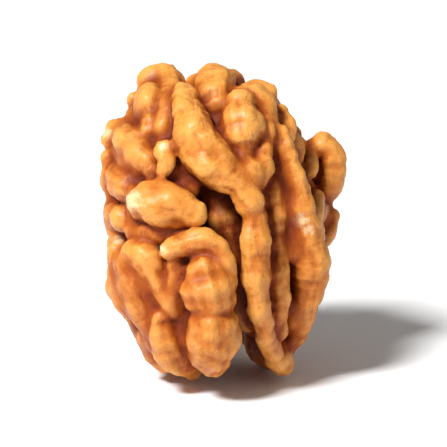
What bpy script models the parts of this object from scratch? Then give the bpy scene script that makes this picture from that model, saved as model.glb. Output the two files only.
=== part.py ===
"""A whole walnut kernel, out of its shell: one solid, standing on its blunt end.

The kernel is an egg-shaped seed of two halves. Each half is a lump covered in rounded folds, and a
deep valley runs between the halves where the shell's partition was. A fold is drawn as a short path
on the egg, with a radius at each point, and swept as a round tube. Plain lumps fill each half from
inside, and a voxel remesh joins everything into one closed skin.

Folds are drawn in millimetres in the kernel's own upright frame: x to the right, y to the back, z up.
The kernel then leans back a little and is moved so that its lowest folds are cut flat by the ground,
with the origin on the ground under the middle of its box.
"""

import math

import bmesh
import bpy
from mathutils import Matrix, Vector, noise

MM = 0.001
LEAN = math.radians(14)

# The egg that the folds' centre lines lie on.
EGG_CENTRE = Vector((-0.6, 0.0, 17.2))
EGG_HALF = Vector((10.6, 9.8, 15.4))
EGG_POWER = 2.4

# Each half's folds grow from a spine that stands at this x, between these heights.
VALLEY_X = 0.4
LEFT_SPINE_X = -5.2
RIGHT_SPINE_X = 4.2
SPINE_LOW = 9.0
SPINE_HIGH = 25.0

# A fold is swept again at these depths towards the spine, in fold radii, thinner by this share of its
# radius for each radius of depth.
ROOT_DEPTHS = (0.0, 0.8, 1.7, 2.6)
ROOT_TAPER = 0.06
SPINE_Y = 1.0

# The last ring of a fold's rounded end stands at this angle, just short of the pole.
END_ANGLE = math.radians(88)

VOXEL = 1.0
SMOOTHING = 2
FOOT_CUT = 0.6
WELD = 1e-7
SMOOTHING_FACTOR = 0.5
RINGS_PER_RADIUS = 3
SIDES = 12
LUMP_SUBDIVISIONS = 4
SKIN_COLOUR = (0.74, 0.30, 0.08)
SKIN_ROUGHNESS = 0.5

# A fold is never of even thickness: it swells and thins by this share, over about this length.
SWELL = 0.16
SWELL_LENGTH = 2.6

# A drawing face: which axis looks out of it, and which way.
FACES = {
    "front": (1, -1),
    "back": (1, 1),
    "left": (0, -1),
    "right": (0, 1),
    "top": (2, 1),
    "bottom": (2, -1),
}

# How far the two ends of a fold dive into the body, on the faces where folds run into each other.
END_DIVE = {"front": 0.0, "back": 1.2, "left": 1.0, "right": 1.0, "top": 0.0, "bottom": 0.0}

# Each fold: name, face, how far it is raised off the egg, how many times it is swept again on the
# way down to its root, and its points. A point is the two coordinates seen on that face (x, z on the
# front and back, y, z on the sides, x, y on the top and bottom) and the fold's radius there.
FOLDS = [
    # the right half, front
    ("main_ridge", "front", 1.3, 3,
     [(-4.2, 31.0, 1.2), (-3.8, 29.6, 1.7), (-3.2, 27.8, 2.1), (-2.8, 26.0, 2.3), (-1.7, 24.2, 2.4),
      (0.1, 22.6, 2.2), (1.7, 21.3, 1.8), (2.8, 19.4, 1.5)]),
    ("main_ridge_foot", "front", 1.0, 3,
     [(3.3, 17.9, 1.35), (3.3, 15.8, 1.55), (3.4, 13.4, 1.6), (3.5, 11.2, 1.45), (3.7, 9.0, 1.3),
      (4.0, 7.2, 1.2), (4.5, 5.4, 1.15), (5.1, 4.0, 1.1)]),
    ("crevice_floor", "front", -0.9, 2, [(-1.2, 29.8, 1.0), (-0.4, 27.8, 1.1), (0.2, 25.8, 1.1)]),
    ("crown_knob", "front", 0.3, 2, [(-0.9, 32.3, 2.2), (-0.8, 31.0, 2.0), (-0.6, 29.8, 1.3)]),
    ("crown_knob_left", "front", -1.6, 2, [(-2.8, 32.1, 0.95), (-2.2, 31.4, 1.0)]),
    ("bulb", "front", 0.9, 3,
     [(1.9, 29.4, 1.8), (1.9, 27.8, 2.2), (2.0, 26.4, 1.9), (2.2, 25.2, 1.2)]),
    ("ridge_shoulder", "front", 1.0, 3, [(2.2, 23.9, 1.1), (2.5, 22.8, 1.6), (2.6, 21.2, 1.5)]),
    ("bulb_brow", "front", 0.1, 2, [(1.4, 30.5, 1.2), (3.0, 30.4, 1.5), (4.2, 29.4, 1.4)]),
    ("bulb_rim", "front", 0.5, 3,
     [(4.4, 28.8, 1.1), (4.6, 27.2, 1.1), (4.4, 25.6, 1.0), (4.1, 24.2, 1.1), (4.0, 23.0, 1.25),
      (3.7, 21.6, 0.9)]),
    ("crown_right", "front", -1.8, 2, [(2.3, 31.2, 0.9), (3.4, 31.5, 1.3), (4.7, 30.6, 1.2)]),
    ("shoulder_right", "front", -1.4, 3, [(5.8, 28.9, 1.1), (6.4, 27.6, 1.25), (6.5, 26.3, 1.0)]),
    ("valley_wall", "front", -3.9, 1,
     [(-1.8, 22.0, 1.6), (-0.8, 19.8, 1.9), (0.2, 17.4, 2.0), (0.9, 14.8, 1.9), (1.3, 12.2, 1.8),
      (1.7, 9.8, 1.6), (2.4, 7.4, 1.3)]),
    ("outer_ridge", "front", 0.6, 3,
     [(6.0, 26.6, 0.9), (6.4, 25.4, 1.1), (7.0, 23.9, 1.1), (7.6, 22.2, 1.15), (8.1, 20.4, 1.2),
      (8.3, 18.9, 1.3)]),
    ("outer_ridge_foot", "front", 0.8, 3,
     [(8.6, 17.6, 1.3), (9.0, 15.8, 1.75), (9.2, 13.4, 1.95), (9.1, 11.0, 1.9), (8.7, 9.0, 1.75),
      (8.2, 7.2, 1.6), (7.5, 5.4, 1.4), (6.6, 4.2, 1.2)]),
    ("inner_ridge", "front", -1.0, 2,
     [(5.2, 21.6, 0.6), (5.5, 19.4, 0.9), (5.6, 17.2, 1.0), (5.8, 14.6, 1.05), (5.7, 12.2, 1.15),
      (5.9, 9.8, 1.1), (5.8, 7.6, 1.0), (5.7, 5.8, 0.9)]),
    ("groove_floor", "front", -1.3, 2,
     [(5.2, 25.4, 1.0), (5.6, 23.4, 1.1), (6.4, 21.0, 1.2), (7.0, 18.0, 1.3), (7.2, 14.6, 1.3)]),
    ("ear", "front", -1.8, 0,
     [(10.6, 25.6, 1.6), (11.5, 24.9, 1.65), (11.8, 23.4, 1.6), (11.5, 21.8, 1.5), (10.9, 20.4, 1.4),
      (10.2, 19.2, 1.3), (9.6, 18.0, 1.3)]),
    ("ear_shell", "front", -3.2, 0, [(10.2, 24.6, 1.5), (10.2, 23.2, 1.6), (10.0, 21.6, 1.5)]),
    ("ear_lip", "front", -2.2, 0, [(9.5, 25.6, 1.05), (9.2, 24.4, 0.8), (9.3, 22.8, 0.8)]),
    ("ear_root", "front", -1.5, 3, [(9.8, 20.0, 1.1), (9.4, 18.0, 1.3), (9.7, 16.0, 1.2)]),
    ("ear_foot", "front", -2.2, 2, [(11.6, 18.0, 1.0), (11.2, 16.9, 1.15), (10.5, 15.6, 1.15)]),
    # the left half, front
    ("crown_left", "front", 0.4, 3,
     [(-7.3, 32.3, 1.8), (-7.3, 30.6, 1.9), (-7.5, 28.8, 1.5), (-7.6, 27.0, 1.2)]),
    ("crown_left_inner", "front", 0.2, 3,
     [(-6.1, 32.6, 1.65), (-5.7, 31.0, 1.6), (-5.8, 29.2, 1.3), (-6.2, 27.2, 1.0)]),
    ("crown_floor", "front", -0.8, 2,
     [(-5.4, 28.6, 1.2), (-5.8, 26.6, 1.4), (-5.6, 24.6, 1.4), (-4.7, 22.6, 1.4), (-3.6, 20.8, 1.3)]),
    ("crown_flank", "front", 0.1, 3,
     [(-9.3, 30.4, 0.9), (-9.0, 29.2, 1.25), (-8.7, 27.6, 1.2), (-8.0, 26.0, 1.0)]),
    ("upper_lobe", "front", 0.9, 2,
     [(-11.4, 27.2, 1.2), (-10.4, 26.8, 1.75), (-9.3, 25.6, 1.9), (-8.2, 24.0, 1.5), (-7.5, 22.8, 1.0)]),
    ("upper_lobe_face", "front", 1.1, 2, [(-11.3, 26.8, 1.2), (-10.2, 25.8, 1.7), (-9.0, 24.4, 1.5)]),
    ("upper_lobe_edge", "front", 0.5, 2,
     [(-12.1, 26.3, 0.85), (-11.0, 25.3, 1.2), (-9.8, 24.1, 1.3), (-8.6, 22.9, 1.0)]),
    ("side_lobe", "front", 0.8, 2,
     [(-11.7, 24.0, 1.2), (-11.2, 22.8, 1.9), (-10.2, 21.4, 1.9), (-9.2, 20.6, 1.3)]),
    ("side_lobe_tip", "front", 0.5, 2, [(-11.7, 22.0, 1.4), (-11.3, 20.3, 1.4)]),
    ("nub", "front", 1.7, 2, [(-6.1, 24.9, 1.1), (-5.9, 23.7, 0.9), (-6.3, 22.7, 0.75)]),
    ("pear_lobe", "front", 1.7, 1,
     [(-8.4, 19.4, 1.9), (-7.0, 19.4, 2.5), (-5.3, 19.1, 2.25), (-4.0, 18.7, 1.75), (-3.0, 18.4, 1.35)]),
    ("pear_lobe_crest", "front", 2.0, 1, [(-7.8, 20.5, 1.4), (-6.5, 20.5, 1.5), (-5.0, 19.9, 1.3)]),
    ("small_knob", "front", 0.5, 2, [(-11.2, 18.2, 1.65), (-10.2, 17.8, 1.5)]),
    ("pear_floor", "front", 0.2, 1,
     [(-9.2, 16.4, 1.2), (-7.4, 16.3, 1.3), (-5.6, 16.5, 1.3), (-3.6, 17.0, 1.2)]),
    ("lobe_floor", "front", -0.4, 2, [(-9.6, 22.8, 1.2), (-8.8, 19.4, 1.5), (-8.4, 16.4, 1.5)]),
    # the left half's lower knob, the end of a lobe that faces the front
    ("knob_left", "front", 1.2, 1,
     [(-10.6, 14.0, 1.6), (-10.4, 12.0, 1.9), (-9.7, 10.2, 2.0), (-8.7, 8.6, 1.8), (-7.7, 7.0, 1.5)]),
    ("knob_left_flank", "front", 0.6, 1, [(-11.2, 10.6, 1.0), (-10.6, 9.0, 1.1), (-9.5, 7.7, 1.0)]),
    ("knob_body", "front", 0.7, 1,
     [(-9.4, 12.8, 2.3), (-8.6, 10.8, 2.5), (-7.8, 8.8, 2.3), (-7.0, 6.8, 2.0), (-6.4, 4.8, 1.7)]),
    ("knob_top", "front", 1.5, 1,
     [(-9.1, 14.3, 1.5), (-8.0, 13.6, 1.7), (-7.3, 12.2, 1.6), (-6.7, 10.8, 1.35), (-5.9, 9.6, 1.15),
      (-5.1, 8.2, 0.9)]),
    ("knob_gusset", "front", 1.5, 1,
     [(-4.9, 13.2, 1.0), (-4.8, 11.6, 1.0), (-5.4, 9.8, 1.0), (-5.2, 8.6, 0.8)]),
    ("knob_foot", "front", 2.4, 1,
     [(-6.6, 7.4, 1.0), (-6.2, 5.8, 1.5), (-5.6, 4.2, 1.8), (-4.7, 2.9, 1.5), (-3.5, 1.9, 1.1)]),
    ("knob_foot_flank", "front", 1.6, 1, [(-8.0, 5.6, 1.1), (-7.3, 3.7, 1.3), (-6.3, 2.2, 1.1)]),
    ("knob_groove", "front", 1.0, 1,
     [(-4.6, 12.0, 1.0), (-4.4, 8.5, 1.0), (-3.9, 5.0, 1.0), (-3.2, 2.6, 0.9)]),
    ("arch", "front", 2.4, 1,
     [(-5.6, 14.5, 0.9), (-4.6, 14.9, 1.2), (-3.2, 15.3, 1.35), (-1.8, 15.3, 1.35), (-0.8, 14.7, 1.3),
      (-0.2, 13.5, 1.25), (0.2, 12.0, 1.2)]),
    ("knob_bulb_upper", "front", 2.4, 2, [(-1.8, 12.2, 2.2), (-1.6, 11.1, 2.95), (-1.4, 9.9, 2.6)]),
    ("knob_bulb_lower", "front", 3.0, 2,
     [(-1.2, 6.6, 2.6), (-1.2, 5.4, 2.85), (-1.3, 4.0, 2.4), (-1.4, 2.7, 1.6)]),
    # the crown, seen from above
    ("top_left", "top", -0.4, 2, [(-7.6, -1.0, 1.4), (-7.0, 1.6, 1.6), (-5.6, 3.8, 1.5)]),
    ("top_left_inner", "top", -1.3, 2,
     [(-4.6, -2.4, 1.2), (-4.2, 0.2, 1.4), (-3.2, 2.4, 1.4), (-2.8, 5.0, 1.3)]),
    ("top_right_inner", "top", -0.2, 2, [(0.2, -1.2, 1.3), (0.8, 1.4, 1.5), (1.2, 4.2, 1.4)]),
    ("top_right", "top", -0.8, 2, [(3.4, -1.6, 1.3), (4.0, 1.0, 1.5), (4.8, 3.6, 1.4)]),
    # the left side
    ("left_a", "left", -0.3, 3,
     [(-1.6, 29.6, 1.2), (0.4, 28.4, 1.5), (2.6, 28.2, 1.4), (4.8, 26.8, 1.3)]),
    ("left_b", "left", -0.2, 3,
     [(-1.4, 25.4, 1.3), (1.0, 25.2, 1.5), (3.2, 23.8, 1.5), (4.0, 21.4, 1.4)]),
    ("left_c", "left", 0.0, 3,
     [(-0.4, 22.4, 1.3), (0.6, 20.2, 1.5), (0.4, 17.8, 1.5), (-0.4, 15.6, 1.4)]),
    ("left_d", "left", -0.1, 3,
     [(3.6, 18.6, 1.4), (3.8, 16.0, 1.5), (3.0, 13.4, 1.5), (3.4, 10.8, 1.4)]),
    ("left_e", "left", 0.0, 3,
     [(-2.4, 13.0, 1.3), (-0.2, 12.0, 1.6), (0.4, 9.4, 1.6), (-0.6, 7.2, 1.4)]),
    ("left_f", "left", 0.2, 2, [(-3.0, 18.4, 1.1), (-2.4, 20.4, 1.1)]),
    ("left_g", "left", -0.3, 2,
     [(-4.6, 7.4, 1.2), (-3.2, 5.6, 1.4), (-1.0, 4.6, 1.4), (1.2, 5.4, 1.3)]),
    ("left_h", "left", -0.2, 2, [(2.4, 8.4, 1.3), (3.4, 6.4, 1.4), (5.0, 5.6, 1.2)]),
    # the right side
    ("right_a", "right", -1.2, 3,
     [(1.2, 28.6, 1.2), (2.8, 26.6, 1.4), (4.2, 24.0, 1.5), (4.6, 21.4, 1.4)]),
    ("right_b", "right", -0.8, 3,
     [(-0.6, 21.6, 1.1), (1.6, 20.0, 1.3), (3.2, 18.0, 1.5), (3.6, 15.2, 1.5), (3.2, 12.4, 1.4)]),
    ("right_c", "right", -0.4, 3,
     [(-1.8, 16.4, 1.2), (0.0, 14.6, 1.4), (0.6, 12.0, 1.5), (0.0, 9.4, 1.4)]),
    ("right_d", "right", -0.4, 3, [(3.4, 9.8, 1.3), (3.0, 7.6, 1.4), (1.4, 6.0, 1.3)]),
    ("right_e", "right", -1.4, 3, [(-2.6, 27.4, 1.0), (-2.0, 25.6, 1.2), (-1.4, 23.6, 1.2)]),
    ("right_f", "right", -1.2, 3, [(-0.2, 27.4, 1.1), (1.0, 25.4, 1.3), (1.4, 23.4, 1.3)]),
    ("right_g", "right", -0.6, 3, [(-3.8, 9.2, 1.2), (-2.4, 7.4, 1.4), (-0.6, 6.4, 1.3)]),
    # the back, left half
    ("back_left_a", "back", 0.0, 3,
     [(-3.2, 31.0, 1.3), (-3.8, 28.6, 1.7), (-4.8, 26.2, 1.8), (-4.4, 23.8, 1.7), (-3.2, 21.6, 1.6),
      (-3.0, 19.4, 1.5), (-4.0, 17.4, 1.4)]),
    ("back_left_b", "back", 0.0, 3,
     [(-6.6, 30.4, 1.3), (-7.4, 28.2, 1.5), (-8.0, 25.8, 1.6), (-7.8, 23.2, 1.5)]),
    ("back_left_c", "back", 0.2, 3,
     [(-7.2, 21.8, 1.4), (-6.2, 19.8, 1.6), (-5.9, 17.6, 1.5), (-5.0, 15.6, 1.4)]),
    ("back_left_d", "back", 0.0, 3,
     [(-9.2, 19.8, 1.4), (-9.0, 17.2, 1.6), (-7.8, 15.0, 1.6), (-6.2, 13.4, 1.5), (-5.8, 11.0, 1.4)]),
    ("back_left_e", "back", 0.0, 3,
     [(-2.6, 15.0, 1.4), (-3.0, 12.8, 1.6), (-3.2, 10.0, 1.8), (-4.2, 7.6, 1.8), (-5.0, 5.4, 1.6)]),
    ("back_left_f", "back", 0.0, 3,
     [(-9.2, 12.2, 1.5), (-8.6, 9.8, 1.6), (-7.4, 7.6, 1.6), (-6.4, 5.6, 1.4)]),
    # the back, right half
    ("back_right_a", "back", 0.0, 3,
     [(1.4, 31.0, 1.3), (1.4, 28.6, 1.6), (2.4, 26.4, 1.8), (2.2, 23.8, 1.7), (1.2, 21.6, 1.6),
      (1.4, 19.2, 1.5)]),
    ("back_right_b", "back", 0.0, 3,
     [(4.8, 30.0, 1.3), (5.4, 27.6, 1.5), (5.2, 25.0, 1.4), (6.2, 22.8, 1.5), (6.0, 20.4, 1.4)]),
    ("back_right_c", "back", 0.1, 3,
     [(3.8, 20.4, 1.3), (4.2, 18.0, 1.6), (3.4, 15.8, 1.6), (1.8, 14.4, 1.5), (1.0, 12.4, 1.4)]),
    ("back_right_d", "back", 0.0, 3,
     [(7.6, 18.6, 1.3), (6.6, 16.6, 1.4), (6.2, 14.2, 1.6), (5.0, 12.0, 1.6), (4.2, 9.8, 1.5)]),
    ("back_right_e", "back", 0.0, 3,
     [(1.2, 9.6, 1.5), (1.8, 7.4, 1.7), (3.0, 5.8, 1.6), (4.6, 5.0, 1.4)]),
    ("back_right_f", "back", 0.0, 3,
     [(8.0, 13.4, 1.4), (7.6, 10.8, 1.6), (6.6, 8.4, 1.6), (5.8, 6.2, 1.4)]),
    # low folds on the floor of the valley at the back
    ("back_valley_a", "back", -2.0, 2, [(-1.4, 28.6, 1.2), (-0.5, 26.4, 1.3), (-0.9, 24.0, 1.2)]),
    ("back_valley_b", "back", -2.2, 2, [(-0.4, 22.6, 1.1), (-1.5, 20.6, 1.3), (-0.8, 18.2, 1.3)]),
    ("back_valley_c", "back", -2.2, 2, [(-0.4, 16.4, 1.1), (-1.0, 14.4, 1.3), (-0.4, 12.2, 1.2)]),
    # under the kernel: the folds that it stands on
    ("under_left", "bottom", -0.6, 2,
     [(-6.6, -4.6, 1.5), (-7.0, -1.6, 1.6), (-6.0, 1.6, 1.7), (-5.0, 5.0, 2.4)]),
    ("under_left_inner", "bottom", -0.8, 2, [(-3.0, -3.8, 1.5), (-3.2, -0.6, 1.5), (-2.6, 2.6, 1.6)]),
    ("under_right", "bottom", 0.4, 3, [(5.6, 0.8, 1.5), (5.0, 2.8, 1.6), (4.2, 5.2, 2.0)]),
    ("under_right_front", "bottom", 1.2, 3, [(5.6, -3.2, 1.3), (6.0, -1.2, 1.5), (5.8, 0.8, 1.4)]),
]

# The inner lumps, which close the folds from behind: centre and half axes of each.
LUMPS = [
    ((-6.0, 0.6, 19.8), (4.6, 7.0, 11.4)),
    ((-5.2, 0.4, 9.6), (5.6, 7.2, 7.0)),
    ((-8.6, -5.6, 10.9), (3.2, 2.8, 4.2)),
    ((-3.0, -7.4, 8.4), (3.4, 2.6, 5.0)),
    ((-7.6, -3.2, 29.0), (1.9, 3.2, 3.4)),
    ((3.8, 0.4, 17.6), (5.0, 8.0, 12.6)),
    ((3.4, -4.6, 28.0), (2.4, 3.6, 3.0)),
    ((-0.6, 0.9, 18.6), (3.2, 6.2, 10.6)),
    ((0.3, 0.8, 28.6), (2.8, 4.2, 3.4)),
]


def on_egg(face, a, b, raised):
    """The point of the egg seen at (a, b) on a face, moved outwards along the face's axis."""
    axis, sign = FACES[face]
    seen = [i for i in range(3) if i != axis]
    point = Vector((0.0, 0.0, 0.0))
    left_over = 1.0
    for i, value in zip(seen, (a, b)):
        point[i] = value
        left_over -= abs((value - EGG_CENTRE[i]) / EGG_HALF[i]) ** EGG_POWER
    depth = EGG_HALF[axis] * max(left_over, 0.0) ** (1 / EGG_POWER)
    point[axis] = EGG_CENTRE[axis] + sign * (depth + raised)
    return point


def catmull_rom(a, b, c, d, t):
    """The value between b and c, at t from 0 to 1."""
    return 0.5 * (2 * b + (c - a) * t + (2 * a - 5 * b + 4 * c - d) * t**2 + (3 * b - a - 3 * c + d) * t**3)


def smooth_path(points):
    """Points close together along a smooth curve, each with its radius as a fourth number."""
    ends = [points[0] * 2 - points[1], *points, points[-1] * 2 - points[-2]]
    path = []
    for a, b, c, d in zip(ends, ends[1:], ends[2:], ends[3:]):
        length = (c.xyz - b.xyz).length
        steps = max(2, math.ceil(length * RINGS_PER_RADIUS / b.w))
        path += [catmull_rom(a, b, c, d, i / steps) for i in range(steps)]
    path = [*path, points[-1]]
    return [Vector((*p.xyz, p.w * (1 + SWELL * noise.noise(p.xyz / SWELL_LENGTH)))) for p in path]


def round_ends(path):
    """The path with a hemisphere's radii added beyond each end."""
    first, last = path[0], path[-1]
    before = (first.xyz - path[1].xyz).normalized()
    after = (last.xyz - path[-2].xyz).normalized()
    cap = []
    for i in range(1, RINGS_PER_RADIUS + 2):
        angle = END_ANGLE * i / (RINGS_PER_RADIUS + 1)
        cap.append((math.sin(angle), math.cos(angle)))
    head = [Vector((*(first.xyz + before * first.w * s), first.w * c)) for s, c in reversed(cap)]
    tail = [Vector((*(last.xyz + after * last.w * s), last.w * c)) for s, c in cap]
    return head + path + tail


def root_of(point, depth):
    """The point carried inwards, towards the middle of its own half."""
    spine_x = LEFT_SPINE_X if point.x < VALLEY_X else RIGHT_SPINE_X
    target = Vector((spine_x, SPINE_Y, min(max(point.z, SPINE_LOW), SPINE_HIGH)))
    inwards = (target - point.xyz).normalized()
    return Vector((*(point.xyz + inwards * point.w * depth), point.w * (1 - ROOT_TAPER * depth)))


def drawn_points(face, raised, drawn):
    """The points of a drawn fold on the egg, each with its radius, the two ends diving in."""
    points = [Vector((*on_egg(face, a, b, raised), radius)) for a, b, radius in drawn]
    for end in (0, -1):
        a, b, radius = drawn[end]
        points[end] = Vector((*on_egg(face, a, b, raised - END_DIVE[face]), radius))
    return points


def fold_tubes(collection):
    """One curve object that sweeps every fold as a round tube, again and again down to its root."""
    curve = bpy.data.curves.new("folds", "CURVE")
    curve.dimensions = "3D"
    curve.bevel_depth = MM
    curve.bevel_resolution = SIDES // 4 - 1
    curve.use_fill_caps = True
    for _, face, raised, roots, drawn in FOLDS:
        points = drawn_points(face, raised, drawn)
        for depth in ROOT_DEPTHS[: roots + 1]:
            path = round_ends(smooth_path([root_of(point, depth) for point in points]))
            spline = curve.splines.new("POLY")
            spline.points.add(len(path) - 1)
            for point, place in zip(spline.points, path):
                point.co = (*(place.xyz * MM), 1.0)
                point.radius = place.w
    folds = bpy.data.objects.new("folds", curve)
    collection.objects.link(folds)
    return folds


def kernel_blank(collection):
    """All the tubes and lumps in one mesh, still overlapping."""
    folds = fold_tubes(collection)
    graph = bpy.context.evaluated_depsgraph_get()
    tubes = bpy.data.meshes.new_from_object(folds.evaluated_get(graph))
    bpy.data.objects.remove(folds)
    shape = bmesh.new()
    shape.from_mesh(tubes)
    bmesh.ops.remove_doubles(shape, verts=shape.verts, dist=WELD)
    for centre, half in LUMPS:
        place = Matrix.Translation(Vector(centre) * MM) @ Matrix.Diagonal((*(Vector(half) * MM), 1.0))
        bmesh.ops.create_icosphere(shape, subdivisions=LUMP_SUBDIVISIONS, radius=1.0, matrix=place)
    blank = bpy.data.meshes.new("blank")
    shape.to_mesh(blank)
    shape.free()
    bpy.data.meshes.remove(tubes)
    blank.transform(Matrix.Rotation(-LEAN, 4, "X"))
    return blank


def one_skin(blank, collection):
    """The blank joined into one skin, as an editable shape."""
    lump = bpy.data.objects.new("lump", blank)
    collection.objects.link(lump)
    remesh = lump.modifiers.new("one_skin", "REMESH")
    remesh.mode = "VOXEL"
    remesh.voxel_size = VOXEL * MM
    soften = lump.modifiers.new("soften", "SMOOTH")
    soften.factor = SMOOTHING_FACTOR
    soften.iterations = SMOOTHING
    graph = bpy.context.evaluated_depsgraph_get()
    skin = bpy.data.meshes.new_from_object(lump.evaluated_get(graph))
    bpy.data.objects.remove(lump)
    shape = bmesh.new()
    shape.from_mesh(skin)
    bpy.data.meshes.remove(skin)
    return shape


def islands(shape):
    """The separate closed skins of a shape, as lists of vertices."""
    waiting = set(shape.verts)
    found = []
    while waiting:
        start = waiting.pop()
        island, border = [start], [start]
        while border:
            here = border.pop()
            reached = {edge.other_vert(here) for edge in here.link_edges} & waiting
            waiting -= reached
            island += reached
            border += reached
        found.append(island)
    return found


def keep_outside(shape):
    """Only the outer skin; the folds close over small hollows, and their walls are dropped."""
    by_size = sorted(islands(shape), key=len)
    inner = [vertex for island in by_size[:-1] for vertex in island]
    bmesh.ops.delete(shape, geom=inner, context="VERTS")


def stand(shape):
    """The lowest folds cut flat, and the origin put on the ground under the middle of the box."""
    ground = min(vertex.co.z for vertex in shape.verts) + FOOT_CUT * MM
    geometry = [*shape.verts, *shape.edges, *shape.faces]
    cut = bmesh.ops.bisect_plane(
        shape, geom=geometry, dist=WELD, plane_co=(0, 0, ground), plane_no=(0, 0, 1), clear_inner=True
    )
    rim = [item for item in cut["geom_cut"] if isinstance(item, bmesh.types.BMEdge)]
    bmesh.ops.holes_fill(shape, edges=rim, sides=0)
    xs = [vertex.co.x for vertex in shape.verts]
    ys = [vertex.co.y for vertex in shape.verts]
    middle = Vector(((min(xs) + max(xs)) / 2, (min(ys) + max(ys)) / 2, ground))
    bmesh.ops.translate(shape, verts=shape.verts, vec=-middle)


def skin_material():
    """The kernel's satin, honey-brown skin."""
    material = bpy.data.materials.new("walnut_skin")
    material.use_nodes = True
    shader = material.node_tree.nodes["Principled BSDF"]
    shader.inputs["Base Color"].default_value = (*SKIN_COLOUR, 1.0)
    shader.inputs["Roughness"].default_value = SKIN_ROUGHNESS
    return material


def main():
    for old in list(bpy.data.objects):
        bpy.data.objects.remove(old)
    parts = bpy.data.collections.new("walnut_kernel")
    bpy.context.scene.collection.children.link(parts)
    shape = one_skin(kernel_blank(parts), parts)
    keep_outside(shape)
    stand(shape)
    skin = bpy.data.meshes.new("kernel")
    shape.to_mesh(skin)
    shape.free()
    skin.materials.append(skin_material())
    kernel = bpy.data.objects.new("kernel", skin)
    parts.objects.link(kernel)
    return kernel


if __name__ == "__main__":
    main()
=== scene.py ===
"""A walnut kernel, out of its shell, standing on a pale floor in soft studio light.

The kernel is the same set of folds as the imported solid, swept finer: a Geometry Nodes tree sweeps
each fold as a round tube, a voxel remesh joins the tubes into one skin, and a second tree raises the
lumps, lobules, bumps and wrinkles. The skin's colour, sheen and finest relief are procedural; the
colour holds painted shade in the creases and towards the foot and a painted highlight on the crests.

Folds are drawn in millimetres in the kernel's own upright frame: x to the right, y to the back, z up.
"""

import math

import bmesh
import bpy
import numpy as np
from mathutils import Matrix, Vector, noise


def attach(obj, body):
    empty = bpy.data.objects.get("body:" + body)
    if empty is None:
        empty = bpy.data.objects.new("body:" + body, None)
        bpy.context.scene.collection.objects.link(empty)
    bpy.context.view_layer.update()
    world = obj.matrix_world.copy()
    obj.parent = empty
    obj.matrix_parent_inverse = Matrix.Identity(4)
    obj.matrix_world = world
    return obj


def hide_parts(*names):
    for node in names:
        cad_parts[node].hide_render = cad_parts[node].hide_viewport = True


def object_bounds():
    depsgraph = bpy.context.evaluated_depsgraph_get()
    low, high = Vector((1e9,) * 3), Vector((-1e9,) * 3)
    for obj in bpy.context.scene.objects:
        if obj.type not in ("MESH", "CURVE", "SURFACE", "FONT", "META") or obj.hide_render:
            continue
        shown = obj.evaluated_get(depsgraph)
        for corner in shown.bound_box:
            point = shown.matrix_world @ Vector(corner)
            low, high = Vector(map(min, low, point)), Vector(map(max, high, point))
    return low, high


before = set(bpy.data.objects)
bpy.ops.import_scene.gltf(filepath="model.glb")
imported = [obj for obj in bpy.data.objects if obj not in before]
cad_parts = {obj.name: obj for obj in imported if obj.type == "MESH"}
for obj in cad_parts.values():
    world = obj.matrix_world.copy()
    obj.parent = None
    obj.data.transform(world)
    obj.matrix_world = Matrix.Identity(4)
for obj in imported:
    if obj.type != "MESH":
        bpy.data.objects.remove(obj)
CAD_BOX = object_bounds()

MM = 0.001

# The kernel stands leaning back by this much from its own upright frame.
LEAN = math.radians(14)

# The egg that the folds' centre lines lie on.
EGG_CENTRE = Vector((-0.6, 0.0, 17.2))
EGG_HALF = Vector((10.6, 9.8, 15.4))
EGG_POWER = 2.4

# Each half's folds grow from a spine that stands at this x, between these heights.
VALLEY_X = 0.4
LEFT_SPINE_X = -5.2
RIGHT_SPINE_X = 4.2
SPINE_LOW = 9.0
SPINE_HIGH = 25.0

# A fold is swept again at these depths towards the spine, in fold radii, thinner by this share of its
# radius for each radius of depth.
ROOT_DEPTHS = (0.0, 0.8, 1.7, 2.6)
ROOT_TAPER = 0.06
SPINE_Y = 1.0

# The last ring of a fold's rounded end stands at this angle, just short of the pole.
END_ANGLE = math.radians(88)

# How finely a fold is swept: rings in each radius of its length, and sides of its tube.
RINGS_PER_RADIUS = 5
SIDES = 24

# How finely an inner lump's ball is divided. A line point with a radius below NO_RADIUS is a lump.
BALL_SUBDIVISIONS = 5
NO_RADIUS = 1e-9

# The voxel remesh that joins the sweeps into one skin, in millimetres, and the smoothing after it.
VOXEL = 0.265
SMOOTHING = 2
SMOOTHING_FACTOR = 0.5

# A fold is never of even thickness: it swells and thins by this share, over about this length.
SWELL = 0.16
SWELL_LENGTH = 2.6

# A drawing face: which axis looks out of it, and which way.
FACES = {
    "front": (1, -1),
    "back": (1, 1),
    "left": (0, -1),
    "right": (0, 1),
    "top": (2, 1),
    "bottom": (2, -1),
}

# How far the two ends of a fold dive into the body, on the faces where folds run into each other.
END_DIVE = {"front": 0.0, "back": 1.2, "left": 1.0, "right": 1.0, "top": 0.0, "bottom": 0.0}

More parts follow.
